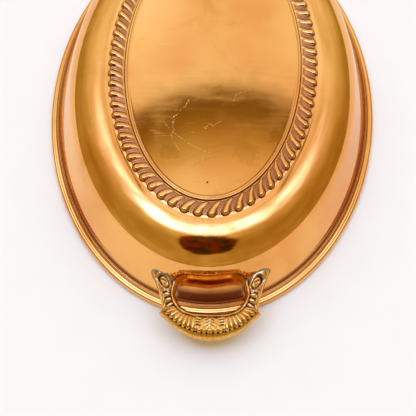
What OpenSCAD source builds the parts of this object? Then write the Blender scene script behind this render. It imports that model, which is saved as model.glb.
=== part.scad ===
// Oval copper dish cover with a rolled, wired rim, a gadrooned panel border and a cast handle
// soldered on at each end. It stands mouth down, +Z up, with its long axis along Y.
// Every line round the oval is an ellipse. s is the level distance out from the panel's edge.

/* [Oval] */
// Length over the rolled rim, handles left out
rim_length = 243.4; // [236:0.2:252]
// Width over the rolled rim
rim_width = 168.2; // [162:0.2:174]
// Level distance from the panel's edge to the outside of the rim
panel_inset = 40.8; // [40:0.1:42]

/* [Shell] */
// Height of the flat panel above the table
panel_height = 38.4; // [36:0.1:42]
// Thickness of the copper sheet
sheet_t = 0.8; // [0.7:0.05:1]
// Height at which the wall meets the flange
wall_foot_height = 8.4; // [8:0.1:9]
// Level distance from the panel's edge to the foot of the wall
wall_reach = 34.4; // [34:0.1:35]
// Drop from the panel to the top of the shoulder's curve
shoulder_drop = 0.6; // [0.3:0.1:1]
// Squareness of the shoulder: 2 is an ellipse, more is boxier
shoulder_power = 2.35; // [2.2:0.05:2.5]

/* [Panel border] */
// Width of the gadrooned band
gadroon_w = 7.8; // [7:0.1:8.5]
// Height of the band over the shoulder's curve
gadroon_rise = 1.5; // [1:0.1:2]
// Width of the plain fillet inside the band
fillet_w = 1.5; // [1:0.1:2]
// Height of the plain fillet over the panel
fillet_rise = 0.35; // [0.2:0.05:0.5]

/* [Rim] */
// Diameter of the wire inside the rolled edge
wire_d = 2.3; // [2:0.1:2.5]
// Play round the wire
wire_play = 0.05; // [0.03:0.01:0.1]
// Height of the fine bead along the flange
bead_rise = 0.5; // [0.3:0.1:0.7]

/* [Handles] */
// Angle by which the line through both handles is off the oval's long axis
handle_skew = 1.2; // [0:0.1:1.5]
// Width of a handle across its grip
handle_width = 45; // [43:0.5:47]
// Reach of a handle's grip beyond the rim
handle_reach = 15.4; // [14:0.2:17]
// Width of the finger gap inside a handle
gap_width = 32.8; // [31:0.2:34]
// Depth of the finger gap, out from the line through the feet
gap_depth = 15; // [14.5:0.1:15.5]
// Height of the grip's middle above the table
grip_z = 12; // [11.5:0.1:13]
// Height of a foot's middle above the table
foot_z = 17; // [16:0.1:18]
// Thickness of the grip, top to bottom
grip_t = 9; // [8:0.1:9.5]
// Thickness of an arm, top to bottom
arm_t = 6.4; // [6:0.1:7]
// Width of the solder showing round a foot
solder_w = 0.8; // [0.5:0.1:1.2]

/* [Hidden] */

copper = [0.80, 0.50, 0.28];
cast_copper = [0.84, 0.58, 0.30];
solder_grey = [0.62, 0.64, 0.56];

panel_a = rim_length / 2 - panel_inset;
panel_b = rim_width / 2 - panel_inset;
around = 64;

function lerp(a, b, u) = a + (b - a) * u;
function ellipse(s) = [for (k = [0:around - 1]) let (a = 360 * k / around)
    [(panel_b + s) * cos(a), (panel_a + s) * sin(a)]];
function ring(p) = [for (q = ellipse(p[0])) [q[0], q[1], p[1]]];

// Rings joined into one closed skin: open has a cap on the first and last ring, and a loop has none
module skin(rings, loop = false) {
    sides = len(rings[0]);
    count = len(rings);
    polyhedron(
        points = [for (r = rings) each r],
        faces = concat(
            loop ? [] : [[for (k = [0:sides - 1]) k], [for (k = [sides - 1:-1:0]) (count - 1) * sides + k]],
            [for (r = [0:count - (loop ? 1 : 2)], k = [0:sides - 1])
                let (a = r * sides + k, b = r * sides + (k + 1) % sides,
                     c = (r + 1) % count * sides + k, d = (r + 1) % count * sides + (k + 1) % sides)
                each [[a, c, b], [b, c, d]]]));
}

// Rolled edge, with a flat at its foot and its outermost line
roll_r = wire_d / 2 + wire_play + sheet_t;
roll_s = panel_inset - roll_r;
curl_step = 30;
function curl_point(r, a) = [roll_s, roll_r] + r / cos(curl_step / 2) * [cos(a), sin(a)];

// The skins, as [s, height] from the panel outwards
function shoulder_point(a, t) =
    [(wall_reach - t) * pow(cos(a), 2 / shoulder_power),
     wall_foot_height + (panel_height - shoulder_drop - t - wall_foot_height) * pow(sin(a), 2 / shoulder_power)];
function gadroon_z(u) = lerp(panel_height - shoulder_drop, shoulder_point(80, 0)[1], u)
    + gadroon_rise * pow(sin(180 * u), 0.7);
plate_inset = fillet_w + 1;
flange_z = wall_foot_height - 3.2;
outer_skin = [
    [-plate_inset, panel_height],
    [-fillet_w, panel_height],
    [-fillet_w / 2, panel_height + fillet_rise],
    [0, panel_height - 0.1],
    for (u = [0.05, 0.15, 0.35, 0.65, 0.85, 0.97]) [gadroon_w * u, gadroon_z(u)],
    for (a = [80, 70, 60, 50, 40, 30, 20, 10]) shoulder_point(a, 0),
    [wall_reach + 0.15, wall_foot_height],
    [wall_reach + 1.1, wall_foot_height - 2.2],
    [wall_reach + 2, flange_z],
    [wall_reach + 2.5, flange_z + bead_rise],
    [wall_reach + 3, flange_z - 0.8],
    for (a = [105:-curl_step:-165]) curl_point(roll_r, a)];
inner_skin = [
    for (a = [-165:curl_step:75]) curl_point(roll_r - sheet_t, a),
    [wall_reach + 2.6, flange_z - 1.4],
    [wall_reach + 1.4, flange_z - 0.6],
    [wall_reach + 0.2, wall_foot_height - 2.4],
    [wall_reach - 0.6, wall_foot_height],
    for (a = [10, 25, 40, 55, 70, 80]) shoulder_point(a, sheet_t),
    [0, panel_height - sheet_t - 0.1],
    [-plate_inset, panel_height - sheet_t]];

module body() {
    color(copper) skin([for (p = concat(outer_skin, inner_skin)) ring(p)]);
}

module rim_wire() {
    color(copper)
        skin([for (a = [0:45:315]) ring([roll_s, roll_r] + wire_d / 2 * [cos(a), -sin(a)])], loop = true);
}

// Handle: its inner and outer edges in plan, out from the line through the feet, for u from 0 at
// the right foot to 1 at the middle of the grip
foot_line = panel_a + wall_reach - 5.3;
inner_power = 3.2;
grip_r = 25.6;
grip_out = rim_length / 2 + handle_reach - foot_line;
ear_x = handle_width / 2 - 0.5;
ear_y = grip_out - grip_r + sqrt(grip_r * grip_r - ear_x * ear_x);
ear_u = 0.48;
foot_outer = [26.6, -1.6];
foot_inner_y = 2.9;
arm_flare = 5.6;
inner_start = asin(pow(foot_inner_y / gap_depth, inner_power / 2));
ear_angle = acos(ear_x / grip_r);

function inner_edge(u) = let (a = lerp(inner_start, 90, u))
    [gap_width / 2 * pow(cos(a), 2 / inner_power), gap_depth * pow(sin(a), 2 / inner_power)];
function outer_edge(u) = u < ear_u
    ? let (v = 1 - u / ear_u) [foot_outer[0] - arm_flare * (1 - pow(v, 1.5)), lerp(foot_outer[1], ear_y, 1 - v)]
    : let (a = lerp(ear_angle, 90, (u - ear_u) / (1 - ear_u)))
        [grip_r * cos(a), grip_out - grip_r + grip_r * sin(a)];
function hand_z(u) = lerp(grip_z, foot_z, pow(1 - u, 1.6));
function hand_t(u) = arm_t + (grip_t - arm_t) * pow(u, 1.5) + 1.6 * pow(1 - u, 6);

// One oval ring of points between the inner and outer edges; grow widens it all round
hand_sides = 14;
function hand_ring(u, side, grow = 0) =
    let (i = inner_edge(u), o = outer_edge(u), mid = (i + o) / 2,
         half = (o - i) / 2 * (1 + 2 * grow / norm(o - i)))
    [for (k = [0:hand_sides - 1]) let (a = 360 * k / hand_sides)
        [side * (mid[0] + half[0] * cos(a)), -foot_line - mid[1] - half[1] * cos(a),
         hand_z(u) + (hand_t(u) / 2 + grow) * sin(a)]];

stations = 12;
module handle() {
    color(cast_copper)
        skin([for (k = [0:2 * stations]) let (u = k / stations)
            u <= 1 ? hand_ring(u, 1) : hand_ring(2 - u, -1)]);
}

// Solder under a foot: the foot's outline, a little wider, carried back onto the wall
function wall_s(z) = wall_reach * pow(1 - pow((z - wall_foot_height)
    / (panel_height - shoulder_drop - wall_foot_height), shoulder_power), 1 / shoulder_power);
function on_wall(x, z) = let (s = wall_s(z)) [x, -(panel_a + s) * sqrt(1 - pow(x / (panel_b + s), 2)), z];
foot_ring = hand_ring(0, 1, solder_w);
foot_middle = (foot_ring[0] + foot_ring[hand_sides / 2]) / 2;
module foot_solder() {
    color(solder_grey)
        skin([
            for (w = [0.05, 0.5, 1]) [for (p = foot_ring) let (q = lerp(foot_middle, p, w)) on_wall(q[0], q[2])],
            foot_ring]);
}

module at_front() { rotate([0, 0, handle_skew]) children(); }
module at_rear() { rotate([0, 0, handle_skew + 180]) children(); }
module front_handle() { at_front() handle(); }
module rear_handle() { at_rear() handle(); }
module front_left_solder() { at_front() mirror([1, 0, 0]) foot_solder(); }
module front_right_solder() { at_front() foot_solder(); }
module rear_left_solder() { at_rear() foot_solder(); }
module rear_right_solder() { at_rear() mirror([1, 0, 0]) foot_solder(); }

body();
rim_wire();
front_handle();
rear_handle();
front_left_solder();
front_right_solder();
rear_left_solder();
rear_right_solder();
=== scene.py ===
import math

import bmesh
import bpy
import numpy as np
from mathutils import Matrix, Vector


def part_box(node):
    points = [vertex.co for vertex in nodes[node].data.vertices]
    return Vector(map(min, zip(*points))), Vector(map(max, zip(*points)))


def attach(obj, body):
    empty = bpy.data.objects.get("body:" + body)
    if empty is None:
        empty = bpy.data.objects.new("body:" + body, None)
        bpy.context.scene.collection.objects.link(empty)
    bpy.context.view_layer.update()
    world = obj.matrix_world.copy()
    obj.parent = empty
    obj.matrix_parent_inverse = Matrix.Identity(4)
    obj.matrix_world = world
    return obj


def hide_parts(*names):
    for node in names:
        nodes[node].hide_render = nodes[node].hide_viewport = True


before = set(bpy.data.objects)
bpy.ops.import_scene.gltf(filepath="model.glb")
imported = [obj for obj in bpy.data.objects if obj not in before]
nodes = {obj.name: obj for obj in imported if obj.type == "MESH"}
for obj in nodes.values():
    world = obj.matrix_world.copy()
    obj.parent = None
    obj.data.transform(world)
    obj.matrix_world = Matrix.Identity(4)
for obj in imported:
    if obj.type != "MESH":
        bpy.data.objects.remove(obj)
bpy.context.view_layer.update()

mm = 0.001


def plug(tree, value, socket):
    if isinstance(value, Num):
        tree.links.new(value.socket, socket)
    elif isinstance(value, bpy.types.NodeSocket):
        tree.links.new(value, socket)
    else:
        socket.default_value = value


def mathNode(tree, operation, *values):
    node = tree.nodes.new("ShaderNodeMath")
    node.operation = operation
    for socket, value in zip(node.inputs, values):
        plug(tree, value, socket)
    return Num(tree, node.outputs[0])


class Num:  # ordinary arithmetic on one of these builds Math nodes
    def __init__(self, tree, socket):
        self.tree = tree
        self.socket = socket

    def __add__(self, other):
        return mathNode(self.tree, "ADD", self, other)

    def __sub__(self, other):
        return mathNode(self.tree, "SUBTRACT", self, other)

    def __rsub__(self, other):
        return mathNode(self.tree, "SUBTRACT", other, self)

    def __mul__(self, other):
        return mathNode(self.tree, "MULTIPLY", self, other)

    def __truediv__(self, other):
        return mathNode(self.tree, "DIVIDE", self, other)

    def __pow__(self, other):
        return mathNode(self.tree, "POWER", self, other)

    __radd__ = __add__
    __rmul__ = __mul__

    def do(self, operation, *others):
        return mathNode(self.tree, operation, self, *others)

    def ramp(self, low, high, outLow=0.0, outHigh=1.0, smooth=True):
        node = self.tree.nodes.new("ShaderNodeMapRange")
        node.interpolation_type = "SMOOTHSTEP" if smooth else "LINEAR"
        for socket, value in zip(node.inputs, (self, low, high, outLow, outHigh)):
            plug(self.tree, value, socket)
        return Num(self.tree, node.outputs[0])

    def mix(self, low, high):  # low where this is 0, high where it is 1
        return low + (high - low) * self


def joinXYZ(tree, x, y, z):
    node = tree.nodes.new("ShaderNodeCombineXYZ")
    for socket, value in zip(node.inputs, (x, y, z)):
        plug(tree, value, socket)
    return node.outputs[0]


def splitXYZ(tree, vector):
    node = tree.nodes.new("ShaderNodeSeparateXYZ")
    plug(tree, vector, node.inputs[0])
    return [Num(tree, socket) for socket in node.outputs]


def noise(tree, vector, scale, detail=2.0, roughness=0.5, distortion=0.0):
    node = tree.nodes.new("ShaderNodeTexNoise")
    plug(tree, vector, node.inputs["Vector"])
    for name, value in (("Scale", scale), ("Detail", detail),
                        ("Roughness", roughness), ("Distortion", distortion)):
        plug(tree, value, node.inputs[name])
    return Num(tree, node.outputs[0])


def blendColour(tree, amount, low, high, way="MIX"):
    node = tree.nodes.new("ShaderNodeMix")
    node.data_type = "RGBA"
    node.blend_type = way
    plug(tree, amount, node.inputs[0])
    plug(tree, low, node.inputs[6])
    plug(tree, high, node.inputs[7])
    return node.outputs[2]


def objectMillimetres(tree):
    where = tree.nodes.new("ShaderNodeTexCoord")
    scaled = tree.nodes.new("ShaderNodeVectorMath")
    scaled.operation = "SCALE"
    tree.links.new(where.outputs["Object"], scaled.inputs[0])
    scaled.inputs["Scale"].default_value = 1000.0
    return scaled.outputs[0]


def turned(tree, vector, degrees, stretch):
    node = tree.nodes.new("ShaderNodeMapping")
    plug(tree, vector, node.inputs["Vector"])
    node.inputs["Rotation"].default_value = [math.radians(d) for d in degrees]
    node.inputs["Scale"].default_value = stretch
    return node.outputs[0]


# scratches, smudges, tarnish and a fine height, shared by the sheet, the cast handles and the rim wire
def buildWearGroup():
    tree = bpy.data.node_groups.new("polishWear", "ShaderNodeTree")
    face = tree.interface
    face.new_socket("Position", in_out="INPUT", socket_type="NodeSocketVector")
    face.new_socket("Scratches", in_out="INPUT", socket_type="NodeSocketFloat")
    face.new_socket("Tarnish", in_out="INPUT", socket_type="NodeSocketFloat")
    for name in ("Scratch", "Smudge", "Tarnish", "Height"):
        face.new_socket(name, in_out="OUTPUT", socket_type="NodeSocketFloat")
    enter = tree.nodes.new("NodeGroupInput")
    leave = tree.nodes.new("NodeGroupOutput")
    here = enter.outputs["Position"]
    amount = Num(tree, enter.outputs["Scratches"])
    lines = None
    for degrees, along, cut in ((38, 0.07, 0.76), (97, 0.09, 0.77), (152, 0.08, 0.78)):
        stroke = noise(tree, turned(tree, here, (0, 0, degrees), (along, 3.4, 0.9)), 1.0, 2.0, 0.5, 0.25)
        patch = noise(tree, turned(tree, here, (0, 0, degrees * 2), (1, 1, 1)), 0.05, 1.0)
        line = stroke.ramp(cut - 0.05, cut + 0.02) * patch.ramp(0.52, 0.66)
        lines = line if lines is None else lines.do("MAXIMUM", line)
    scratch = lines * amount
    smudge = noise(tree, here, 0.055, 4.0, 0.6, 0.6).ramp(0.38, 0.68)
    wipe = noise(tree, turned(tree, here, (0, 0, -6), (0.05, 0.5, 0.3)), 1.0, 3.0, 0.6).ramp(0.4, 0.75)
    spots = noise(tree, here, 0.9, 2.0, 0.5).ramp(0.72, 0.8)
    cloud = noise(tree, here, 0.035, 5.0, 0.62, 1.2).ramp(0.5, 0.74)
    tarnish = (cloud * 0.75 + spots * 0.5).do("MINIMUM", 1.0) * Num(tree, enter.outputs["Tarnish"])
    waves = noise(tree, here, 0.09, 1.0, 0.4) * 0.004
    grain = noise(tree, here, 2.6, 2.0) * 0.001
    height = waves - scratch * 0.003 + grain
    plug(tree, scratch, leave.inputs["Scratch"])
    plug(tree, smudge * 0.6 + wipe * 0.4, leave.inputs["Smudge"])
    plug(tree, tarnish, leave.inputs["Tarnish"])
    plug(tree, height, leave.inputs["Height"])
    return tree


wearGroup = buildWearGroup()


def plainFinish(name):
    finish = bpy.data.materials.new(name)
    finish.use_nodes = True
    tree = finish.node_tree
    return finish, tree, tree.nodes["Principled BSDF"], objectMillimetres(tree)


def startFinish(name, scratches, tarnish):
    finish, tree, shader, here = plainFinish(name)
    wear = tree.nodes.new("ShaderNodeGroup")
    wear.node_tree = wearGroup
    tree.links.new(here, wear.inputs["Position"])
    wear.inputs["Scratches"].default_value = scratches
    wear.inputs["Tarnish"].default_value = tarnish
    marks = {out.name: Num(tree, out) for out in wear.outputs}
    return finish, tree, shader, here, marks


def bumpInto(tree, shader, height, distance, strength=1.0):
    bump = tree.nodes.new("ShaderNodeBump")
    bump.inputs["Distance"].default_value = distance
    bump.inputs["Strength"].default_value = strength
    plug(tree, height, bump.inputs["Height"])
    tree.links.new(bump.outputs[0], shader.inputs["Normal"])


def attribute(tree, name):
    node = tree.nodes.new("ShaderNodeAttribute")
    node.attribute_name = name
    return Num(tree, node.outputs["Fac"])


sheetLook = dict(
    bright=(0.95, 0.48, 0.14, 1.0),
    warm=(0.86, 0.36, 0.09, 1.0),
    tarnished=(0.62, 0.27, 0.03, 1.0),
    # the next two colours are painted shade: in creases, grooves and the pit, and on the low field between
    # the lobes
    paintedShade=(0.15, 0.022, 0.006, 1.0),
    field=(0.34, 0.12, 0.045, 1.0),
    scratched=(1.0, 0.78, 0.45, 1.0),
    panelFrom=38.0,  # mm up, where the panel's own marks begin to show
    panelFull=38.3,
    loneScratches=(  # centre x, y, radius, facing, half the arc in degrees, all in mm
        (1.0, -43.0, 19.0, 166.0, 61.0), (18.0, -8.0, 51.0, 235.0, 19.0),
        (-34.0, 46.0, 92.7, -68.0, 3.2), (30.0, -45.0, 28.0, 125.0, 13.0),
        (-9.0, -57.0, 7.0, -35.0, 35.0), (22.0, 30.0, 33.0, 200.0, 8.0)),
    pit=(-0.5, -71.5, 0.7),
    stains=((18.0, -55.0, 8.0), (-19.0, -55.5, 6.0), (31.0, -46.0, 5.0), (3.0, -20.0, 4.0)),
    scratchHalf=0.09,
    polish=0.06,
    smudged=0.11,
)


def loneScratch(tree, here, centreX, centreY, radius, facing, half):
    x, y = splitXYZ(tree, here)[:2]
    x = x - centreX
    y = y - centreY
    far = (x * x + y * y).do("SQRT")
    line = (far - radius).do("ABSOLUTE").ramp(0.04, sheetLook["scratchHalf"] * 2, 1.0, 0.0)
    ahead = (x * math.cos(math.radians(facing)) + y * math.sin(math.radians(facing))) / far
    return line * ahead.ramp(math.cos(math.radians(half)), math.cos(math.radians(half * 0.85)))


def polishedSheet():
    look = sheetLook
    finish, tree, shader, here, marks = startFinish("polishedCopper", 1.0, 0.55)
    drift = noise(tree, here, 0.02, 2.0)
    colour = blendColour(tree, drift.ramp(0.35, 0.65), look["bright"], look["warm"])
    colour = blendColour(tree, marks["Tarnish"], colour, look["tarnished"])
    # painted shade: the low field between the lobes and the creases and grooves are darkened
    colour = blendColour(tree, attribute(tree, "field") * 0.8, colour, look["field"])
    colour = blendColour(tree, attribute(tree, "paintedShade") * 0.95, colour, look["paintedShade"])
    shader.inputs["Metallic"].default_value = 1.0
    # a few lone scratches on the panel, each an arc that wavers and breaks up
    x, y, z = splitXYZ(tree, here)
    onPanel = z.ramp(look["panelFrom"], look["panelFull"])
    wobble = noise(tree, here, 0.25, 2.0)
    bent = joinXYZ(tree, x + (wobble - 0.5) * 5.0, y - (wobble - 0.5) * 4.0, z)
    lone = None
    for arc in look["loneScratches"]:
        line = loneScratch(tree, bent, *arc)
        lone = line if lone is None else lone.do("MAXIMUM", line)
    dotted = noise(tree, here, 1.9, 1.0).ramp(0.47, 0.56)
    lone = lone * dotted * onPanel
    colour = blendColour(tree, lone * 0.5, colour, look["scratched"])
    # faint ragged stains, and one small pit darkened with painted shade
    stained = None
    ragged = noise(tree, here, 0.22, 3.0, 0.6) - 0.5
    for stainX, stainY, radius in look["stains"]:
        far = ((x - stainX) ** 2.0 + (y - stainY) ** 2.0).do("SQRT") / radius + ragged * 2.6
        patch = far.ramp(0.55, 0.8, 1.0, 0.0)
        stained = patch if stained is None else stained.do("MAXIMUM", patch)
    colour = blendColour(tree, stained * onPanel * 0.4, colour, look["tarnished"])
    pitX, pitY, pitRadius = look["pit"]
    pitFar = ((x - pitX) ** 2.0 + (y - pitY) ** 2.0).do("SQRT")
    pit = pitFar.ramp(pitRadius * 0.5, pitRadius, 0.9, 0.0) * onPanel
    colour = blendColour(tree, pit, colour, look["paintedShade"])
    tree.links.new(colour, shader.inputs["Base Color"])
    rough = marks["Smudge"].ramp(0.0, 1.0, look["polish"], look["smudged"]) + lone * 0.22
    rough = rough + marks["Tarnish"] * 0.06 + marks["Scratch"] * 0.2 + attribute(tree, "paintedShade") * 0.2
    plug(tree, rough, shader.inputs["Roughness"])
    # fine chased lines in the field between the lobes
    phase = attribute(tree, "phaseSin").do("ARCTAN2", attribute(tree, "phaseCos"))
    lines = (phase * 6.0).do("SINE") * attribute(tree, "field")
    bumpInto(tree, shader, marks["Height"] + lines * 0.06, 0.001)
    return finish


castLook = dict(
    bright=(0.80, 0.38, 0.07, 1.0),
    pale=(0.90, 0.53, 0.15, 1.0),
    silverAndHighlight=(0.92, 0.82, 0.62, 1.0),
    dark=(0.07, 0.018, 0.005, 1.0),
    polish=0.16,
)


def castCopper():
    look = castLook
    finish, tree, shader, here, marks = startFinish("castCopper", 0.5, 0.5)
    colour = blendColour(tree, noise(tree, here, 0.25, 3.0).ramp(0.4, 0.7), look["bright"], look["pale"])
    colour = blendColour(tree, marks["Tarnish"] * 0.6, colour, sheetLook["tarnished"])
    # worn silvery plating on the leaf, and painted highlights on the bead tops
    colour = blendColour(tree, attribute(tree, "pale") * 0.7, colour, look["silverAndHighlight"])
    # painted shade in the hollows of the cast relief
    colour = blendColour(tree, attribute(tree, "paintedShade"), colour, look["dark"])
    tree.links.new(colour, shader.inputs["Base Color"])
    shader.inputs["Metallic"].default_value = 1.0
    rough = marks["Smudge"] * 0.12 + look["polish"] + attribute(tree, "paintedShade") * 0.3
    plug(tree, rough, shader.inputs["Roughness"])
    grain = noise(tree, here, 3.2, 3.0) * 0.02 + noise(tree, here, 0.9, 2.0) * 0.03
    bumpInto(tree, shader, grain + marks["Height"] * 0.3, 0.001)
    return finish


solderLook = dict(
    dull=(0.24, 0.20, 0.12, 1.0),
    pale=(0.44, 0.38, 0.24, 1.0),
    green=(0.13, 0.19, 0.12, 1.0),
    metal=0.55,
    greenedLess=0.4,
)


def solderGrey():
    look = solderLook
    finish, tree, shader, here = plainFinish("softSolder")
    grain = noise(tree, here, 0.8, 4.0, 0.6)
    colour = blendColour(tree, grain.ramp(0.4, 0.62), look["dull"], look["pale"])
    green = noise(tree, turned(tree, here, (0, 0, 40), (1, 1, 1)), 0.5, 3.0).ramp(0.44, 0.62)
    colour = blendColour(tree, green * 0.7, colour, look["green"])
    tree.links.new(colour, shader.inputs["Base Color"])
    plug(tree, look["metal"] - green * look["greenedLess"], shader.inputs["Metallic"])
    plug(tree, grain.ramp(0.3, 0.7, 0.35, 0.6), shader.inputs["Roughness"])
    bumpInto(tree, shader, grain * 0.25, 0.001)
    return finish


wireLook = dict(
    bare=(0.62, 0.28, 0.12, 1.0),
    tarnished=(0.22, 0.10, 0.05, 1.0),
)


def wireCopper():
    look = wireLook
    finish, tree, shader, here, marks = startFinish("rimWireCopper", 0.3, 1.0)
    colour = blendColour(tree, marks["Tarnish"], look["bare"], look["tarnished"])
    tree.links.new(colour, shader.inputs["Base Color"])
    shader.inputs["Metallic"].default_value = 1.0
    plug(tree, marks["Smudge"] * 0.2 + 0.35, shader.inputs["Roughness"])
    bumpInto(tree, shader, marks["Height"], 0.0005)
    return finish


sheetFinish = polishedSheet()
castFinish = castCopper()
solderFinish = solderGrey()
wireFinish = wireCopper()
print("finishes made")


shellLow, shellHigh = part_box("body")
shell = dict(
    rimLength=shellHigh.y - shellLow.y,
    rimWidth=shellHigh.x - shellLow.x,
    panelInset=40.8 * mm,
    panelHeight=38.4 * mm,
    sheet=0.8 * mm,
    wallFoot=8.4 * mm,
    wallReach=35.0 * mm,
    shoulderReach=33.4 * mm,
    shoulderDrop=0.6 * mm,
    shoulderPower=2.35,
    kneeAt=41.8,
    kneeNormal=45.0,
    kneeRadius=10.9 * mm,
    wallSlant=21.0,
    filletWidth=1.5 * mm,
    filletRise=0.4 * mm,
    rollRadius=2.0 * mm,
    rollPower=2.8,
    beadRise=0.5 * mm,
    lobes=70,
    stepsPerLobe=12,
    bandStart=0.3 * mm,
    bandWidth=7.5 * mm,
    ballAt=0.77,
    ballRadius=1.75 * mm,
    tailHalfWidth=0.98 * mm,
    lobeRise=1.45 * mm,
    tailRise=0.40 * mm,
    lean=0.70,
    pressedThrough=0.6,
    panelCrown=0.10 * mm,
    panelWave=0.010 * mm,
    shoulderWave=0.16 * mm,
)


def shoulderPoint(degrees, inward=0.0):
    p = shell
    c = max(math.cos(math.radians(degrees)), 0.0) ** (2 / p["shoulderPower"])
    s = math.sin(math.radians(degrees)) ** (2 / p["shoulderPower"])
    rise = p["panelHeight"] - p["shoulderDrop"] - inward - p["wallFoot"]
    return ((p["shoulderReach"] - inward) * c, p["wallFoot"] + rise * s)


def kneeCentre():
    p = shell
    s, z = shoulderPoint(p["kneeAt"])
    a = math.radians(p["kneeNormal"])
    return s - p["kneeRadius"] * math.cos(a), z - p["kneeRadius"] * math.sin(a)


def kneePoint(degrees, inward=0.0):  # degrees: which way the surface faces, 0 straight out
    s, z = kneeCentre()
    radius = shell["kneeRadius"] - inward
    return s + radius * math.cos(math.radians(degrees)), z + radius * math.sin(math.radians(degrees))


def slantPoint(share, inward=0.0):  # down the straight wall, 0 at the knee and 1 at its foot
    s, z = kneePoint(shell["wallSlant"], inward)
    drop = (z - shell["wallFoot"]) * share
    return s + drop * math.tan(math.radians(shell["wallSlant"])), z - drop


def curlPoint(radius, degrees):  # round the rolled edge, a little flatter on top than a circle
    p = shell
    c, s = (math.copysign(abs(v) ** (2 / p["rollPower"]), v)
            for v in (math.cos(math.radians(degrees)), math.sin(math.radians(degrees))))
    return p["panelInset"] - p["rollRadius"] + radius * c, p["rollRadius"] + radius * s


def bandLine(t):  # the field that the lobes stand on, from the fillet to the shoulder
    p = shell
    high = p["panelHeight"] - p["shoulderDrop"]
    return high + (shoulderPoint(80)[1] - high) * t


def smoothThrough(points, perSpan):  # a rounded line through a few points
    full = [points[0]] + list(points) + [points[-1]]
    out = []
    for a, b, c, d in zip(full, full[1:], full[2:], full[3:]):
        for k in range(perSpan):
            t = k / perSpan
            out.append(tuple(
                0.5 * (2 * q + (r - p) * t + (2 * p - 5 * q + 4 * r - s) * t * t
                       + (3 * q - p - 3 * r + s) * t ** 3)
                for p, q, r, s in zip(a, b, c, d)))
    out.append(points[-1])
    return out


# the sheet's section as rows (s, z, carry): s is how far out from the panel's edge, z how high,
# and carry how much of the gadroons' relief the row takes
def shellSection():
    p = shell
    top = p["panelHeight"]
    foot = p["wallFoot"]
    reach = p["wallReach"]
    panelB = p["rimWidth"] / 2 - p["panelInset"]
    width = p["bandStart"] + p["bandWidth"]
    fillet = p["filletWidth"]
    rows = []

    def add(s, z, carry):
        rows.append((s, z, carry))

    for k in range(9):  # flat panel, from its middle line out
        add(-panelB + (panelB - fillet - 1.3 * mm) * (k / 8) ** 0.8, top, 0.0)
    for s, z in ((-0.95, 0.0), (-0.60, 0.04), (-0.28, 0.05), (-0.10, -0.02), (0.0, -0.10)):
        add(s * mm - fillet, top + z * mm, 0.0)  # raised lip and its groove
    for k in range(1, 7):  # plain fillet ridge
        t = k / 7
        hill = (p["filletRise"] + 0.10 * mm) * math.sin(math.pi * t) ** 0.7
        add(-fillet + fillet * t, top - 0.10 * mm + hill, 0.0)
    add(0.0, top - 0.55 * mm, 0.0)
    bandRows = 21
    for k in range(1, bandRows):  # gadroon band
        t = k / bandRows
        add(width * t, bandLine(t), 1.0)
    for s, z in ((0.15, -0.12), (0.55, -0.14), (1.0, -0.05)):  # shallow moat outside the tips
        add(width + s * mm, shoulderZ(width + s * mm) + z * mm, 1.0 if s < 0.3 else 0.0)
    rise = (shoulderZ(width + 1.6 * mm) - foot) / (top - p["shoulderDrop"] - foot)
    start = math.degrees(math.asin(min(1.0, rise ** (p["shoulderPower"] / 2))))
    for k in range(11):  # shoulder, knee and straight wall
        add(*shoulderPoint(start + (p["kneeAt"] - start) * k / 10), 0.0)
    for k in range(1, 6):
        add(*kneePoint(p["kneeNormal"] + (p["wallSlant"] - p["kneeNormal"]) * k / 5), 0.0)
    for share in (0.3, 0.5, 0.60, 0.85):
        add(*slantPoint(share), 0.0)
    flange = foot - 3.2 * mm
    foldOut = [slantPoint(0.97), (reach + 0.13 * mm, foot - 0.5 * mm), (reach + 0.75 * mm, foot - 2.0 * mm),
               (reach + 1.4 * mm, flange + 0.25 * mm), (reach + 1.75 * mm, flange + 0.20 * mm),
               (reach + 2.1 * mm, flange + p["beadRise"]), (reach + 2.45 * mm, flange - 0.25 * mm),
               curlPoint(p["rollRadius"], 108)]
    for s, z in smoothThrough(foldOut, 2)[:-1]:
        add(s, z, 0.0)
    for degrees in (104, 88, 72, 56, 40, 22, 0, -30, -60, -95, -130, -160):  # over the wire
        add(*curlPoint(p["rollRadius"], degrees), 0.0)
    inner = p["rollRadius"] - p["sheet"]
    for degrees in (-160, -105, -45, 15, 75):  # and back up the inside
        add(*curlPoint(inner, degrees), 0.0)
    for s, z in ((2.1, -1.4), (1.1, -0.6)):
        add(reach + s * mm, flange + z * mm, 0.0)
    add(reach + 0.2 * mm, foot - 2.4 * mm, 0.0)
    add(reach - 0.6 * mm, foot, 0.0)
    for share in (0.9, 0.45):
        add(*slantPoint(share, p["sheet"]), 0.0)
    for degrees in (15, 30, 45):
        add(*kneePoint(degrees, p["sheet"]), 0.0)
    for degrees in (50, 60, 72):
        add(*shoulderPoint(degrees, p["sheet"]), 0.0)
    for k in range(6):
        t = 1 - k / 5
        add(width * t, bandLine(t) - p["sheet"], p["pressedThrough"])
    for k in range(4):
        add(-fillet - (panelB - fillet) * k / 3, top - p["sheet"], 0.0)
    return rows


def shoulderZ(s):
    p = shell
    power = p["shoulderPower"]
    rise = p["panelHeight"] - p["shoulderDrop"] - p["wallFoot"]
    return p["wallFoot"] + rise * (1 - (s / p["shoulderReach"]) ** power) ** (1 / power)


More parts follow.
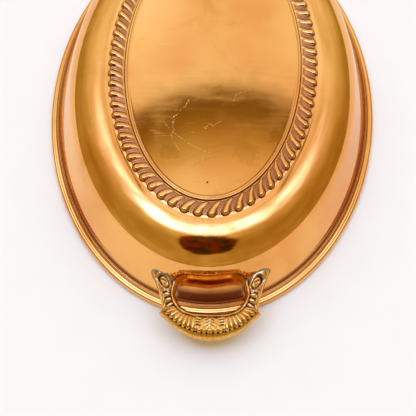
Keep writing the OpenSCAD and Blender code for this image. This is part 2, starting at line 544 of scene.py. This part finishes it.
def gadroonTree():
    tree = bpy.data.node_groups.new("gadroonedShell", "GeometryNodeTree")
    face = tree.interface
    face.new_socket("Section", in_out="INPUT", socket_type="NodeSocketGeometry")
    sizes = dict(Lobes=("INT", shell["lobes"]), Steps=("INT", shell["stepsPerLobe"]))
    floats = {
        "Half Length": shell["rimLength"] / 2 - shell["panelInset"],
        "Half Width": shell["rimWidth"] / 2 - shell["panelInset"],
        "Band Start": shell["bandStart"], "Band Width": shell["bandWidth"],
        "Ball At": shell["ballAt"], "Ball Radius": shell["ballRadius"],
        "Tail Half Width": shell["tailHalfWidth"], "Lobe Rise": shell["lobeRise"],
        "Tail Rise": shell["tailRise"], "Lean": shell["lean"],
        "Crown": shell["panelCrown"], "Wave": shell["panelWave"],
        "Shoulder Wave": shell["shoulderWave"],
    }
    for name, value in floats.items():
        sizes[name] = ("FLOAT", value)
    for name, (kind, value) in sizes.items():
        kindName = "NodeSocketInt" if kind == "INT" else "NodeSocketFloat"
        socket = face.new_socket(name, in_out="INPUT", socket_type=kindName)
        socket.default_value = value
    face.new_socket("Finish", in_out="INPUT", socket_type="NodeSocketMaterial")
    face.new_socket("Shell", in_out="OUTPUT", socket_type="NodeSocketGeometry")
    enter = tree.nodes.new("NodeGroupInput")
    leave = tree.nodes.new("NodeGroupOutput")
    links = tree.links

    def given(name):
        return Num(tree, enter.outputs[name])

    count = tree.nodes.new("GeometryNodeAttributeDomainSize")
    links.new(enter.outputs["Section"], count.inputs[0])
    rows = Num(tree, count.outputs["Point Count"])
    columns = given("Lobes") * given("Steps")
    grid = tree.nodes.new("GeometryNodeMeshGrid")
    plug(tree, columns + 1, grid.inputs["Vertices X"])
    plug(tree, rows, grid.inputs["Vertices Y"])
    index = Num(tree, tree.nodes.new("GeometryNodeInputIndex").outputs[0])
    column = ((index + 0.5) / rows).do("FLOOR")
    row = index - column * rows
    turn = column / columns

    # an oval through the middle of the lobes, stepped evenly by length
    middle = given("Band Start") + given("Band Width") * 0.5
    circle = tree.nodes.new("GeometryNodeCurvePrimitiveCircle")
    circle.inputs["Resolution"].default_value = 720
    circle.inputs["Radius"].default_value = 1.0
    oval = tree.nodes.new("GeometryNodeSetPosition")
    links.new(circle.outputs[0], oval.inputs["Geometry"])
    cx, cy = splitXYZ(tree, tree.nodes.new("GeometryNodeInputPosition").outputs[0])[:2]
    halfX = given("Half Width") + middle
    halfY = given("Half Length") + middle
    links.new(joinXYZ(tree, cx * halfX, cy * halfY, 0.0), oval.inputs["Position"])
    along = tree.nodes.new("GeometryNodeSampleCurve")
    along.mode = "FACTOR"
    links.new(oval.outputs[0], along.inputs["Curves"])
    plug(tree, turn, along.inputs["Factor"])
    mx, my = splitXYZ(tree, along.outputs["Position"])[:2]
    cosine = mx / halfX
    sine = my / halfY

    def fromSection(kind, source):
        pick = tree.nodes.new("GeometryNodeSampleIndex")
        pick.data_type = kind
        links.new(enter.outputs["Section"], pick.inputs["Geometry"])
        plug(tree, source, pick.inputs["Value"])
        plug(tree, row, pick.inputs["Index"])
        return pick.outputs[0]

    out, level = splitXYZ(tree, fromSection(
        "FLOAT_VECTOR", tree.nodes.new("GeometryNodeInputPosition").outputs[0]))[::2]
    carryIn = tree.nodes.new("GeometryNodeInputNamedAttribute")
    carryIn.data_type = "FLOAT"
    carryIn.inputs["Name"].default_value = "carry"
    carry = Num(tree, fromSection("FLOAT", carryIn.outputs[0]))

    # lobes: a tail that widens into a ball, leaning as it goes out
    across = (out - given("Band Start")) / given("Band Width")
    inBand = across.do("MAXIMUM", 0.0).do("MINIMUM", 1.0)
    lean = given("Lean") * (1.0 - (1.0 - inBand) ** 2.2)
    phase = turn * given("Lobes") + lean
    ovalRound = 1.0253  # how much longer this oval is round than a circle of its mean radius
    pitch = (halfX + halfY) * math.pi * ovalRound / given("Lobes")
    side = (phase.do("FRACT") - 0.5) * pitch
    tailShare = (inBand / given("Ball At")).do("MINIMUM", 1.0)
    halfWide = (tailShare ** 1.3).mix(given("Tail Half Width"), given("Ball Radius"))
    beyond = ((across - given("Ball At")) * given("Band Width")).do("MAXIMUM", 0.0)
    near = (side / halfWide) ** 2.0 + (beyond / given("Ball Radius")) ** 2.0
    dome = (1.0 - near).do("MAXIMUM", 0.0) ** 0.6
    rise = (tailShare ** 1.1).mix(given("Tail Rise"), given("Lobe Rise"))
    ends = across.ramp(-0.01, 0.05) * across.ramp(1.0, 1.06, 1.0, 0.0)
    lobe = dome * rise * carry * ends
    # a low field between the lobes, which stops a little short of the balls' ends
    angle = phase * (2 * math.pi)
    scallop = across + angle.do("COSINE") * 0.035
    field = across.ramp(0.02, 0.12) * scallop.ramp(0.86, 0.93, 1.0, 0.0)
    floor = field * carry * 0.30 * mm * (1.0 - dome.do("MINIMUM", 1.0))
    # the panel is a little full in its middle and not quite flat
    inside = (out + 3.0 * mm).ramp(0.0, -6.0 * mm)
    placeX = (out + given("Half Width")) * cosine
    placeY = (out + given("Half Length")) * sine
    wide = placeX / given("Half Width")
    long = placeY / given("Half Length")
    crown = (1.0 - wide * wide - long * long).do("MAXIMUM", 0.0) * given("Crown")
    spot = joinXYZ(tree, placeX, placeY, 0.0)
    wave = (noise(tree, spot, 18.0, 0.0) - 0.5) * given("Wave") * inside * 2.0
    onShoulder = (out - 9.0 * mm).ramp(0.0, 4.0 * mm) * (out - 31.0 * mm).ramp(0.0, 3.0 * mm, 1.0, 0.0)
    outerSheet = level.do("GREATER_THAN", 9.0 * mm)
    dents = (noise(tree, spot, 34.0, 1.5) - 0.5) * given("Shoulder Wave") * onShoulder * outerSheet
    height = level + lobe + floor + crown + wave + dents

    place = tree.nodes.new("GeometryNodeSetPosition")
    links.new(grid.outputs["Mesh"], place.inputs["Geometry"])
    links.new(joinXYZ(tree, placeX, placeY, height), place.inputs["Position"])
    flow = place.outputs[0]

    # painted shade round the lobes, at the field's end and in the two thin grooves
    edge = near.ramp(0.62, 0.95) * near.ramp(1.25, 2.0, 1.0, 0.0)
    inGroove = ((out + 0.05 * mm).do("ABSOLUTE") / (0.36 * mm)).ramp(0.4, 1.0, 1.0, 0.0)
    lipGroove = ((out + shell["filletWidth"]).do("ABSOLUTE") / (0.40 * mm)).ramp(0.3, 1.0, 1.0, 0.0)
    fieldStops = 0.915
    fieldEnd = (scallop - fieldStops).do("ABSOLUTE").ramp(0.01, 0.05, 1.0, 0.0) * near.ramp(0.9, 1.2) * 0.75
    onBand = across.ramp(0.0, 0.1) * across.ramp(1.04, 1.12, 1.0, 0.0) * carry
    shade = edge.do("MAXIMUM", fieldEnd) * onBand
    shade = shade.do("MAXIMUM", inGroove).do("MAXIMUM", lipGroove * 0.16)
    # painted shade in the cove above the flange and beside the bead and the roll
    pastFoot = out - shell["wallReach"]
    cove = pastFoot.ramp(0.1 * mm, 0.7 * mm) * pastFoot.ramp(1.3 * mm, 1.85 * mm, 1.0, 0.0)
    rollGroove = ((pastFoot - 2.6 * mm).do("ABSOLUTE") / (0.4 * mm)).ramp(0.2, 1.0, 1.0, 0.0)
    outside = level.do("GREATER_THAN", 3.9 * mm)
    # a painted dark reflection on the wall between each handle's arms
    sideways = (placeX + sine * (2.35 * mm)).do("ABSOLUTE")
    lowWall = pastFoot + 1.85 * mm + (sideways / (16.0 * mm)) ** 2.0 * (0.9 * mm)
    paintedReflectionBetweenArms = (sideways.ramp(14.0 * mm, 17.0 * mm, 1.0, 0.0) * sine.do("ABSOLUTE").ramp(0.9, 0.95)
                   * lowWall.ramp(0.0, 0.25 * mm) * pastFoot.ramp(0.3 * mm, 0.7 * mm, 1.0, 0.0))
    shade = shade.do("MAXIMUM", (cove * 0.9 + rollGroove * 0.4 + paintedReflectionBetweenArms) * outside)
    # painted shade on the low field between the lobes, kept off the balls
    bare = field * carry * near.ramp(0.9, 1.4)
    for name, value in (("paintedShade", shade), ("field", bare),
                        ("phaseSin", angle.do("SINE")), ("phaseCos", angle.do("COSINE"))):
        keep = tree.nodes.new("GeometryNodeStoreNamedAttribute")
        keep.data_type = "FLOAT"
        keep.domain = "POINT"
        keep.inputs["Name"].default_value = name
        links.new(flow, keep.inputs["Geometry"])
        plug(tree, value, keep.inputs["Value"])
        flow = keep.outputs[0]

    flip = tree.nodes.new("GeometryNodeFlipFaces")
    links.new(flow, flip.inputs[0])
    merge = tree.nodes.new("GeometryNodeMergeByDistance")
    merge.inputs["Distance"].default_value = 0.002 * mm
    links.new(flip.outputs[0], merge.inputs["Geometry"])
    smooth = tree.nodes.new("GeometryNodeSetShadeSmooth")
    links.new(merge.outputs[0], smooth.inputs["Geometry"])
    real = tree.nodes.new("GeometryNodeRealizeInstances")
    links.new(smooth.outputs[0], real.inputs[0])
    paint = tree.nodes.new("GeometryNodeSetMaterial")
    links.new(real.outputs[0], paint.inputs["Geometry"])
    links.new(enter.outputs["Finish"], paint.inputs["Material"])
    links.new(paint.outputs[0], leave.inputs["Shell"])
    return tree


def plainObject(name, mesh):
    piece = bpy.data.objects.new(name, mesh)
    bpy.context.scene.collection.objects.link(piece)
    return piece


def bakeTree(source, tree, finish, name):
    modifier = source.modifiers.new("make", "NODES")
    modifier.node_group = tree
    for item in tree.interface.items_tree:
        if item.name == "Finish":
            modifier[item.identifier] = finish
    bpy.context.view_layer.update()
    ready = source.evaluated_get(bpy.context.evaluated_depsgraph_get())
    mesh = bpy.data.meshes.new_from_object(ready)
    source.modifiers.remove(modifier)
    bpy.data.objects.remove(source)
    mesh.name = name
    return plainObject(name, mesh)


def makeShell():
    rows = shellSection()
    line = bpy.data.meshes.new("shellSection")
    steps = [(k, k + 1) for k in range(len(rows) - 1)]
    line.from_pydata([(s, 0.0, z) for s, z, carry in rows], steps, [])
    carried = line.attributes.new("carry", "FLOAT", "POINT")
    for k, (s, z, carry) in enumerate(rows):
        carried.data[k].value = carry
    piece = bakeTree(plainObject("shellSection", line), gadroonTree(), sheetFinish, "copper_shell")
    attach(piece, "root")
    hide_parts("body")
    print("shell made:", len(rows), "rings,", len(piece.data.polygons), "faces")


makeShell()


handle = dict(
    width=45.0, reach=15.4, skew=1.2,  # mm and degrees
    gapWidth=32.8, gapDepth=15.0, innerPower=3.2,
    gripZ=12.0, footZ=14.0, gripThick=9.0, armThick=6.4,
    gripRadius=25.6, earAt=0.48, armFlare=5.6,
    footReach=29.1, footOuter=(26.8, -3.9), footInnerY=0.9, footInward=1.5, footThicker=1.2,
    filletWidth=1.9, filletRise=0.38,
    flutes=7.5, motifHalf=6.6, fluteRise=0.55,
    beads=3.0, beadRise=0.95, railWidth=1.5, leafLength=7.6,
    tipAt=0.71, footGrow=1.0, footSpread=0.10, footTwist=0.24, earKnob=1.0,
    stations=441, around=84,
)


def roundHill(x, half):  # 1 at x = 0 and 0 beyond half
    return np.clip(1 - (x / half) ** 2, 0, 1)


def ease(low, high, x):
    t = np.clip((x - low) / (high - low), 0, 1)
    return t * t * (3 - 2 * t)


def handleEdges(u):
    p = handle
    footLine = (shell["rimLength"] / 2 - shell["panelInset"]) / mm + p["footReach"]
    gripOut = shell["rimLength"] / 2 / mm + p["reach"] - footLine
    earX = p["width"] / 2 - 0.5
    earY = gripOut - p["gripRadius"] + math.sqrt(p["gripRadius"] ** 2 - earX ** 2)
    start = math.degrees(math.asin((p["footInnerY"] / p["gapDepth"]) ** (p["innerPower"] / 2)))
    a = np.radians(start + (90 - start) * u)
    inner = np.stack([p["gapWidth"] / 2 * np.cos(a).clip(0) ** (2 / p["innerPower"]),
                      p["gapDepth"] * np.sin(a) ** (2 / p["innerPower"])], 1)
    inner[:, 0] -= p["footInward"] * (1 - u / 0.22).clip(0) ** 1.8
    v = 1 - u / p["earAt"]
    armX = p["footOuter"][0] - p["armFlare"] * (1 - v.clip(0) ** 1.5)
    armY = p["footOuter"][1] + (earY - p["footOuter"][1]) * (1 - v)
    earAngle = math.atan2(earY - gripOut + p["gripRadius"], earX)
    turn = earAngle + (math.pi / 2 - earAngle) * ((u - p["earAt"]) / (1 - p["earAt"])).clip(0)
    gripX = p["gripRadius"] * np.cos(turn)
    gripY = gripOut - p["gripRadius"] + p["gripRadius"] * np.sin(turn)
    onArm = u < p["earAt"]
    knob = p["earKnob"] * np.exp(-((u - p["earAt"]) / 0.05) ** 2)
    outer = np.stack([np.where(onArm, armX, gripX) + knob, np.where(onArm, armY, gripY) + knob * 0.3], 1)
    return inner, outer, footLine


def handleRelief(along, across, spot, wide, ear, total):
    # along: mm from the middle of the grip; across: 0 at the finger gap, 1 at the outside
    # spot: 0 at the gap, 0.5 on top, 1 at the outside, and on round the outer edge
    p = handle
    d = across * wide
    rim = (1 - across) * wide
    line = p["filletWidth"] / 2
    relief = p["filletRise"] * (roundHill(d - line * 0.5, line * 0.5) ** 0.5
                                + roundHill(d - line * 1.5, line * 0.5) ** 0.5)
    relief = relief - 0.35 * roundHill(d - p["filletWidth"] - 0.25, 0.45)
    inField = ease(p["filletWidth"] + 0.1, p["filletWidth"] + 0.8, d)
    grip = 1 - ease(ear - 0.4, ear + 0.8, along)
    # radiating flutes with round tips, a pit between each pair, and short ribs below them
    pitch = (ear - p["motifHalf"]) / p["flutes"]
    place = (along - p["motifHalf"]) / pitch
    a = np.abs(place - np.floor(place) - 0.5) * 2
    tip = p["tipAt"] - 0.06 * a ** 2
    flute = (1 - a ** 2.2) * (1 - ease(tip - 0.03, tip + 0.03, spot)) * (0.7 + 0.5 * ease(0.3, 0.68, spot))
    thread = 0.18 * np.exp(-((a - 1) / 0.14) ** 2) * (1 - ease(0.56, 0.62, spot))
    uneven = np.sin(np.floor(place + 0.5) * 2.4 + 1.0)  # no two pits alike
    pit = (0.85 + 0.3 * uneven) * np.exp(-((a - 1) / 0.42) ** 2) * np.exp(
        -((spot - p["tipAt"] - 0.015 - 0.018 * uneven) / (0.035 + 0.010 * uneven)) ** 2)
    lower = ease(p["tipAt"] + 0.04, p["tipAt"] + 0.09, spot)
    ribs = (0.035 * np.cos(4 * np.pi * place) + 0.05 * np.cos(2 * np.pi * place + 0.8)) * (
        1 - 0.6 * ease(0.95, 1.1, spot))
    onFlutes = ease(p["motifHalf"] - 0.5, p["motifHalf"] + 0.1, along) * grip
    relief = relief + onFlutes * inField * (p["fluteRise"] * flute + thread - 0.5 * pit + ribs * lower)
    # middle motif: nested lines that rise to a point, with lumps and pits along their foot
    wave = d - 3.2 * (1 - np.exp(-along / 3.0)) - 0.25 * np.sin(along * 1.9)
    lines = 0.34 * np.sin(2 * np.pi * wave / 1.45) * (0.55 + 0.45 * np.cos(along * 1.1))
    stem = 0.35 * np.exp(-(along / 0.45) ** 2) * ease(0.2, 0.35, spot)
    lumpRow = (along + 0.4) / 2.1
    lump = np.abs(lumpRow - np.floor(lumpRow) - 0.5) * 2
    lumps = 0.55 * (1 - lump ** 2) * roundHill(spot - p["tipAt"] + 0.05, 0.07) - 0.6 * np.exp(
        -((lump - 1) / 0.45) ** 2) * np.exp(-((spot - p["tipAt"] - 0.015) / 0.04) ** 2)
    onMotif = 1 - ease(p["motifHalf"] - 0.5, p["motifHalf"] + 0.1, along)
    motif = (lines + stem) * (1 - ease(p["tipAt"] - 0.14, p["tipAt"] - 0.1, spot)) + lumps + ribs * lower
    relief = relief + onMotif * inField * motif
    # arms: leaf beads between the fillet and a plain outer rail
    onArm = ease(ear - 0.4, ear + 0.8, along)
    leafStart = total - p["leafLength"]
    beadPitch = (leafStart - ear) / p["beads"]
    middle = (p["filletWidth"] + wide - p["railWidth"]) / 2
    fieldHalf = (wide - p["railWidth"] - p["filletWidth"]) / 2
    slant = (along - ear) / beadPitch + (d - middle) * 0.20
    b = (slant - np.floor(slant) - 0.5) * 2
    onBeads = onArm * (1 - ease(leafStart - 0.3, leafStart + 0.5, along))
    fieldMask = inField * ease(p["railWidth"] - 0.1, p["railWidth"] + 0.3, rim)
    offMiddle = (d - middle) / fieldHalf
    bead = p["beadRise"] * np.sqrt(np.clip(1 - (b / 0.80) ** 2 - (offMiddle * 0.85) ** 2, 0, 1))
    vein = 0.14 * np.cos(slant * 6 * np.pi) * ease(0.2, 0.9, offMiddle)
    rail = 0.35 * roundHill(rim - p["railWidth"] / 2, p["railWidth"] / 2) ** 0.5
    relief = relief + onBeads * fieldMask * (bead + vein - 0.2) + onArm * rail
    # painted highlight on the top of each bead
    paintedBeadHighlight = onBeads * fieldMask * ease(0.35, 0.9, bead / p["beadRise"])
    # a pointed, looped leaf on each foot
    reach = p["leafLength"] / 2
    leafAlong = (along - (total - reach + 0.4)) / reach
    point = 1 - 0.5 * leafAlong.clip(-1, 1) ** 2
    leafSide = (d - wide * 0.55) / (wide * 0.40) / point
    r = np.sqrt(leafAlong ** 2 + leafSide ** 2)
    curl = np.sqrt((leafAlong - 0.10) ** 2 + (leafSide + 0.10) ** 2)
    leaf = (0.75 * np.exp(-((r - 0.84) / 0.13) ** 2) + 0.55 * np.exp(-((curl - 0.36) / 0.12) ** 2)
            + 0.30 * np.exp(-(curl / 0.14) ** 2) - 0.45 * (r < 0.95))
    leafZone = ease(leafStart - 0.3, leafStart + 0.5, along)
    relief = relief + leafZone * leaf
    # pale marks the leaf's worn silvery plating and the beads' painted highlights
    pale = leafZone * np.clip(leaf * 2, 0, 1) + 0.4 * paintedBeadHighlight
    # pointed ear where the arm meets the grip
    relief = relief - 0.45 * np.exp(-((along - ear - 0.3) / 0.35) ** 2) * inField
    return relief * (1 - ease(total - 0.7, total - 0.1, along)), pale


def blurred(field, times):  # closed round the band, open at its two ends
    for k in range(times):
        field = (field + np.roll(field, 1, 1) + np.roll(field, -1, 1)) / 3
        padded = np.pad(field, ((1, 1), (0, 0)), "edge")
        field = (padded[:-2] + padded[1:-1] + padded[2:]) / 3
    return field


def wallS(z):  # how far the wall stands out from the panel's edge at height z
    p = shell
    slantTop = kneePoint(p["wallSlant"])[1] / mm
    centreS, centreZ = (v / mm for v in kneeCentre())
    straight = p["wallReach"] / mm - (z - p["wallFoot"] / mm) * math.tan(math.radians(p["wallSlant"]))
    knee = centreS + np.sqrt(np.maximum((p["kneeRadius"] / mm) ** 2 - (z - centreZ) ** 2, 0.0))
    return np.where(z < slantTop, straight, knee)


def wallY(x, z):
    p = shell
    b = (p["rimWidth"] / 2 - p["panelInset"]) / mm
    a = (p["rimLength"] / 2 - p["panelInset"]) / mm
    reach = wallS(z)
    return -(a + reach) * np.sqrt(1 - (x / (b + reach)) ** 2)


def skewed(x, y):  # the handles sit a little round from the long axis
    a = math.radians(handle["skew"])
    return x * math.cos(a) - y * math.sin(a), x * math.sin(a) + y * math.cos(a)


# a band swept from one foot over the grip to the other, with its relief pushed outwards
def makeHandle(name, node, degrees):
    p = handle
    w = np.linspace(-1, 1, p["stations"])
    u = 1 - np.abs(w)
    side = np.where(w < 0, -1.0, 1.0)
    inner, outer, footLine = handleEdges(u)
    middle = (inner + outer) / 2
    half = (outer - inner) / 2
    wide = 2 * np.hypot(half[:, 0], half[:, 1])
    steps = np.hypot(np.diff(middle[:, 0] * side), np.diff(middle[:, 1]))
    run = np.concatenate([[0], np.cumsum(steps)])
    along = np.abs(run - run[-1] / 2)
    total = along[0]
    ear = np.interp(1 - p["earAt"], np.abs(w[w >= 0]), along[w >= 0])
    level = p["gripZ"] + (p["footZ"] - p["gripZ"]) * (1 - u) ** 1.6
    thick = p["armThick"] + (p["gripThick"] - p["armThick"]) * u ** 1.5 + p["footThicker"] * (1 - u) ** 6
    flare = (1 - u / p["footSpread"]).clip(0) ** 2
    thick = thick + p["footGrow"] * flare
    level = level + 0.35 * p["footGrow"] * flare
    a = np.linspace(0, 2 * np.pi, p["around"], endpoint=False)[None, :]
    c, s = np.cos(a), np.sin(a)
    across = (c + 1) / 2 + np.zeros((len(w), 1))
    onTop = np.where(c > 0, ease(-0.75, -0.35, s), ease(-0.35, 0.10, s))
    spot = 1 - np.where(a > 1.5 * np.pi, a - 2 * np.pi, a) / np.pi + np.zeros((len(w), 1))
    relief, pale = handleRelief(along[:, None], across, spot, wide[:, None], ear, total)
    relief = relief * onTop
    nx = c / (wide[:, None] / 2)
    nz = s / (thick[:, None] / 2)
    size = np.hypot(nx, nz)
    push = relief * nx / size  # outwards across the band
    lift = relief * nz / size
    unit = half / np.hypot(half[:, 0], half[:, 1])[:, None]
    x = side[:, None] * (middle[:, 0:1] + half[:, 0:1] * c + unit[:, 0:1] * push)
    y = -footLine - middle[:, 1:2] - half[:, 1:2] * c - unit[:, 1:2] * push
    twist = p["footTwist"] * (1 - u / 0.3).clip(0)[:, None] ** 1.5
    z = level[:, None] + thick[:, None] / 2 * s + lift + twist * half[:, 0:1] * c
    x, y = skewed(x, y)
    sink = flare[:, None] ** 3  # the feet's ends run into the wall
    y = y * (1 - sink) + (wallY(x, z) + 0.45) * sink
    end = math.cos(math.radians(degrees))  # 1 at the front, -1 at the rear
    points = np.stack([x * end, y * end, z], 2)
    n, m = len(w), p["around"]
    faces = []
    for i in range(n - 1):
        for j in range(m):
            k = (j + 1) % m
            faces.append((i * m + j, i * m + k, (i + 1) * m + k, (i + 1) * m + j))
    faces.append(tuple(range(m - 1, -1, -1)))
    faces.append(tuple((n - 1) * m + j for j in range(m)))
    mesh = bpy.data.meshes.new(name)
    mesh.from_pydata((points.reshape(-1, 3) * mm).tolist(), [], faces)
    # painted shade in the low parts of the cast relief
    low = np.clip((blurred(relief, 12) - relief) * 4.2, 0, 1) * onTop
    shade = mesh.attributes.new("paintedShade", "FLOAT", "POINT")
    shade.data.foreach_set("value", low.reshape(-1).astype(np.float32))
    silver = mesh.attributes.new("pale", "FLOAT", "POINT")
    silver.data.foreach_set("value", (pale * onTop).reshape(-1).astype(np.float32))
    shape = bmesh.new()
    shape.from_mesh(mesh)
    bmesh.ops.recalc_face_normals(shape, faces=shape.faces)
    shape.to_mesh(mesh)
    shape.free()
    mesh.shade_smooth()
    mesh.materials.append(castFinish)
    piece = plainObject(name, mesh)
    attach(piece, "root")
    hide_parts(node)


makeHandle("front_cast_handle", "front_handle", 0)
makeHandle("rear_cast_handle", "rear_handle", 180)
print("handles made")


solder = dict(
    profile=((-0.5, -0.15), (0.42, -0.15), (0.38, 0.04), (0.26, 0.14),
             (0.14, 0.28), (0.04, 0.45), (-0.5, 0.50)),  # mm past the foot, mm off the wall
    steps=96, uneven=0.22,
)


def makeSolder(node, side, degrees):  # an uneven bead round one foot
    inner, outer, footLine = handleEdges(np.array([0.0]))
    middle = (inner[0] + outer[0]) / 2
    half = (outer[0] - inner[0]) / 2
    tall = (handle["armThick"] + handle["footThicker"] + handle["footGrow"]) / 2
    level = handle["footZ"] + 0.35 * handle["footGrow"]
    end = math.cos(math.radians(degrees))
    n, m = solder["steps"], len(solder["profile"])
    points = []
    for k in range(n):
        a = 2 * math.pi * k / n
        ragged = (math.sin(5 * a + 1.3 * side) * 0.5 + math.sin(11 * a + 2.0 + degrees) * 0.35
                  + math.sin(19 * a) * 0.15)
        for grow, out in solder["profile"]:
            wide = grow * (1 + solder["uneven"] * ragged * 2)
            aside = (abs(half[0]) + wide) * math.cos(a)
            x = side * (middle[0] + aside)
            z = level + (tall + wide) * math.sin(a) + handle["footTwist"] * aside
            x = skewed(x, -footLine - middle[1])[0]
            y = wallY(x, z) - out * (0.8 + 0.3 * ragged)
            points.append((mm * x * end, mm * y * end, mm * z))
    faces = [(i * m + j, i * m + (j + 1) % m, (i + 1) % n * m + (j + 1) % m, (i + 1) % n * m + j)
             for i in range(n) for j in range(m)]
    mesh = bpy.data.meshes.new(node + "_line")
    mesh.from_pydata(points, [], faces)
    shape = bmesh.new()
    shape.from_mesh(mesh)
    bmesh.ops.recalc_face_normals(shape, faces=shape.faces)
    shape.to_mesh(mesh)
    shape.free()
    mesh.shade_smooth()
    mesh.materials.append(solderFinish)
    piece = plainObject(node + "_line", mesh)
    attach(piece, "root")
    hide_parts(node)


for end, degrees in (("front", 0), ("rear", 180)):
    for hand, side in (("left", -1), ("right", 1)):
        turnedSide = side if end == "front" else -side
        makeSolder(end + "_" + hand + "_solder", turnedSide, degrees)
print("solder made")


nodes["rim_wire"].data.materials.clear()
nodes["rim_wire"].data.materials.append(wireFinish)


stage = dict(
    floorSize=24.0,
    floorTones=((0.92, 0.895, 0.76, 1.0), (0.95, 0.925, 0.79, 1.0)),
    lampAt=(0.0, 0.2, 2.0),
    lampWide=3.0,
    lampWatts=13.0,
    cameraAt=(4.9 * mm, -269.4 * mm, 378.1 * mm),
    elevation=61.46,
    yaw=-1.44,
    roll=0.55,
    lens=75.2,
)


def makeFloor():
    half = stage["floorSize"] / 2
    mesh = bpy.data.meshes.new("floor")
    corners = [(-half, -half, 0), (half, -half, 0), (half, half, 0), (-half, half, 0)]
    mesh.from_pydata(corners, [], [(0, 1, 2, 3)])
    finish, tree, shader, here = plainFinish("paleFloor")
    colour = blendColour(tree, noise(tree, here, 0.05, 2.0), *stage["floorTones"])
    tree.links.new(colour, shader.inputs["Base Color"])
    shader.inputs["Roughness"].default_value = 0.8
    mesh.materials.append(finish)
    plainObject("floor", mesh)


studio = dict(
    ringTilt=57.0,  # which way the ring of light faces, in degrees up from the far horizon
    wallBright=(1.1, 0.88, 0.5, 1.2),  # from the ring's middle outwards
    shadowFrom=54.4,
    shadowTo=59.8,
    shadowLevel=0.19,
    patchAt=122.0,
    patchHalf=(19.0, 0.37),
    tones=((1.0, 2.0), (1.33, 2.75), (2.9, 6.4)),  # red, green, blue: power on the wall, ring's strength
)


def makeLight():
    p = studio
    world = bpy.data.worlds.new("softStudio")
    bpy.context.scene.world = world
    world.use_nodes = True
    tree = world.node_tree
    where = tree.nodes.new("ShaderNodeTexCoord")
    x, y, z = splitXYZ(tree, where.outputs["Generated"])
    # over: one turn across the top, 0 at the far horizon, 90 overhead, 180 at the near horizon
    over = z.do("ARCTAN2", y) * (180 / math.pi)
    tilt = math.radians(p["ringTilt"])
    off = (y * math.cos(tilt) + z * math.sin(tilt)).do("ARCCOSINE") * (180 / math.pi)
    ring = off.ramp(24.0, 36.0) * off.ramp(41.0, 50.0, 1.0, 0.0) * over.ramp(42.0, 80.0)
    middle, inner, outer, far = p["wallBright"]
    wall = (off.ramp(14.0, 30.0, middle, inner) * off.ramp(38.0, 66.0, 0.96, outer)
            * off.ramp(70.0, 100.0, 1.0, far))
    # inside the ring, a soft shadow that starts at a bowed edge
    edge = over - x * x * 150.0 + x * 3.0
    step = edge.ramp(53.1, 53.9) * off.ramp(20.0, 30.0, 1.0, 0.0)
    shadow = edge.ramp(p["shadowFrom"], p["shadowTo"], p["shadowLevel"], 1.0)
    uneven = noise(tree, joinXYZ(tree, x, y, z), 4.0, 3.0, 0.55).ramp(0.3, 0.7, 0.25, 1.4)
    level = step.mix(wall, shadow) * uneven.ramp(0.25, 1.4, 0.95, 1.13) * x.ramp(0.2, 0.9, 1.0, 0.95)
    # a dark ruddy patch on the near wall, and a dark skirt along its foot
    tall, wide = p["patchHalf"]
    apart = ((over - p["patchAt"]) / tall) ** 2.0 + (x / wide) ** 2.0 + (uneven - 0.8) * 0.25
    patch = apart.ramp(0.72, 1.12, 1.0, 0.0)
    ruddy = noise(tree, joinXYZ(tree, x * 6.0, over * 0.11, 0.0), 1.0, 2.0).ramp(0.42, 0.6, 0.90, 0.66)
    skirt = z.ramp(0.0, 0.06, 0.1, 1.0) * y.ramp(-0.9, -0.6, 1.0, 0.0) + y.ramp(-0.9, -0.6, 0.0, 1.0)
    sideFade = x.do("ABSOLUTE").ramp(0.42, 0.72, 1.0, 0.2)
    glow = ring * uneven * (1.0 - x * 0.25) * (1.0 - patch * 0.95) * sideFade
    background = tree.nodes["Background"]
    # dim parts of the room are warmer than bright ones
    parts = [(level * (1.0 - patch * hidden)) ** power * skirt + glow * bright
             for (power, bright), hidden in zip(p["tones"], (ruddy, 0.85, 0.90))]
    tree.links.new(joinXYZ(tree, *parts), background.inputs["Color"])
    background.inputs["Strength"].default_value = 1.0


def makeFloorLamp():  # lights the floor, and stays out of the copper's reflections
    lampData = bpy.data.lights.new("overheadSoftbox", "AREA")
    lampData.shape = "DISK"
    lampData.size = stage["lampWide"]
    lampData.energy = stage["lampWatts"]
    lamp = bpy.data.objects.new("overheadSoftbox", lampData)
    lamp.location = stage["lampAt"]
    lamp.visible_glossy = False
    bpy.context.scene.collection.objects.link(lamp)


def makeCamera():
    e, yaw, roll = (math.radians(stage[k]) for k in ("elevation", "yaw", "roll"))
    ahead = Vector((math.sin(yaw) * math.cos(e), math.cos(yaw) * math.cos(e), -math.sin(e)))
    right = Vector((math.cos(yaw), -math.sin(yaw), 0))
    up = right.cross(ahead)
    rolledRight = right * math.cos(roll) + up * math.sin(roll)
    rolledUp = up * math.cos(roll) - right * math.sin(roll)
    lensData = bpy.data.cameras.new("camera")
    lensData.lens = stage["lens"]
    lensData.sensor_width = 36.0
    lensData.clip_start = 0.01
    lensData.clip_end = 20.0
    camera = bpy.data.objects.new("camera", lensData)
    bpy.context.scene.collection.objects.link(camera)
    turn = Matrix((rolledRight, rolledUp, -ahead)).transposed().to_4x4()
    camera.matrix_world = Matrix.Translation(stage["cameraAt"]) @ turn
    bpy.context.scene.camera = camera


makeFloor()
makeLight()
makeFloorLamp()
makeCamera()
bpy.context.scene.view_settings.view_transform = "Standard"
print("floor, light and camera set")
